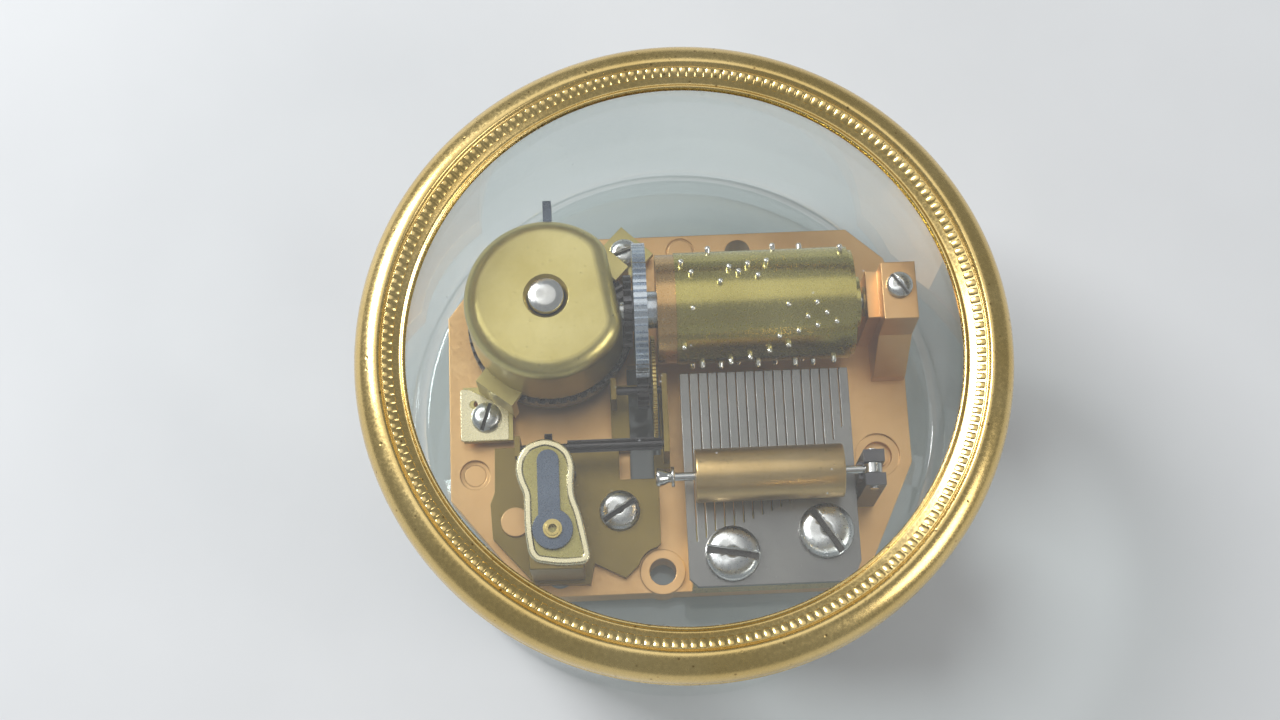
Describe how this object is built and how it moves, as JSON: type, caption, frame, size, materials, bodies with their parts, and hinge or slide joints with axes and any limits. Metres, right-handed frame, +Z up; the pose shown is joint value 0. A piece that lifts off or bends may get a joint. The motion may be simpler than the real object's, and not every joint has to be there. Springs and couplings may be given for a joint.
{
  "type": "wind up music box",
  "caption": "Wind up comb and cylinder music movement in a round clear case with a knurled gold bezel and a flat key underneath.",
  "frame": {"origin": "centre of the rim that the case stands on, on the axis of the round case", "axes": "+Z up along the case axis, +X along the pinned cylinder towards its bearing block, -Y towards the screwed edge of the comb"},
  "size_m": [0.066, 0.066, 0.0338],
  "materials": {
    "clear_acrylic": "clear moulded acrylic, polished",
    "gilt": "gold plated brass, satin band with a knurled inner slope",
    "gold_lacquer": "cast metal with a copper gold lacquer, satin",
    "drum_brass": "pressed brass, dull satin",
    "sleeve_brass": "turned brass, polished",
    "plate_brass": "olive brass sheet, satin",
    "bright_steel": "turned bright steel",
    "blued_steel": "hardened steel, blue grey",
    "dark_steel": "dark oiled steel",
    "comb_steel": "ground spring steel, satin"
  },
  "bodies": {
    "case": {"case_cup": "clear_acrylic", "crystal_lens": "clear_acrylic", "bezel_ring": "gilt", "case_screws": "sleeve_brass", "bedplate": "gold_lacquer", "spring_housing": "drum_brass", "housing_screws": "bright_steel", "mainspring": "dark_steel", "bearing_block": "gold_lacquer", "shaft_bush": "bright_steel", "bush_screw": "bright_steel", "comb": "comb_steel", "comb_base": "gold_lacquer", "comb_screws": "bright_steel", "under_screws": "bright_steel", "governor_frame": "plate_brass", "governor_screw": "bright_steel", "governor_cock": "drum_brass", "cock_screw": "bright_steel", "end_cap_spring": "blued_steel", "end_cap_rivet": "drum_brass", "tilt_post": "dark_steel", "tilt_pin": "bright_steel"},
    "cylinder": {"cylinder_sleeve": "sleeve_brass", "left_cap": "gilt", "right_cap": "sleeve_brass", "cylinder_shaft": "bright_steel", "cylinder_gear": "blued_steel", "cylinder_pinion": "dark_steel", "cylinder_pins": "bright_steel"},
    "great_wheel": {"great_wheel": "dark_steel", "clutch_spring": "blued_steel"},
    "first_wheel": {"first_arbor": "dark_steel", "first_pinion": "dark_steel", "first_wheel": "sleeve_brass"},
    "second_arbor": {"second_arbor": "dark_steel", "worm_wheel": "sleeve_brass"},
    "fan": {"worm": "dark_steel", "air_fan": "sleeve_brass"},
    "winding_key": {"winding_arbor": "bright_steel", "winding_key": "bright_steel"},
    "tilt_weight": {"tilt_weight": "drum_brass", "tilt_rod": "bright_steel", "tilt_knob": "bright_steel"}
  },
  "joints": [
    {"name": "cylinder_turn", "type": "hinge", "parent": "case", "child": "cylinder", "pos_m": [0, 0.0083, 0.0189], "axis": [1, 0, 0], "continuous": true},
    {"name": "great_wheel_turn", "type": "hinge", "parent": "case", "child": "great_wheel", "pos_m": [-0.0139, 0.0083, 0.013], "axis": [0, 0, 1], "continuous": true},
    {"name": "first_wheel_turn", "type": "hinge", "parent": "case", "child": "first_wheel", "pos_m": [-0.0045, 0.00035, 0.01525], "axis": [1, 0, 0], "continuous": true},
    {"name": "second_arbor_turn", "type": "hinge", "parent": "case", "child": "second_arbor", "pos_m": [-0.00975, -0.00585, 0.01636], "axis": [1, 0, 0], "continuous": true},
    {"name": "fan_turn", "type": "hinge", "parent": "case", "child": "fan", "pos_m": [-0.0144, -0.0081, 0.015], "axis": [0, 0, 1], "continuous": true},
    {"name": "key_turn", "type": "hinge", "parent": "case", "child": "winding_key", "pos_m": [-0.0139, 0.0083, 0.003], "axis": [0, 0, 1], "continuous": true},
    {"name": "weight_tilt", "type": "hinge", "parent": "case", "child": "tilt_weight", "pos_m": [0.0194, -0.0106, 0.02095], "axis": [0, 1, 0], "range_deg": [0, 12]}
  ],
  "couplings": [
    {"joint": "great_wheel_turn", "follows": "cylinder_turn", "ratio": 0.41667},
    {"joint": "first_wheel_turn", "follows": "cylinder_turn", "ratio": -4},
    {"joint": "second_arbor_turn", "follows": "cylinder_turn", "ratio": 41},
    {"joint": "fan_turn", "follows": "cylinder_turn", "ratio": 328}
  ]
}
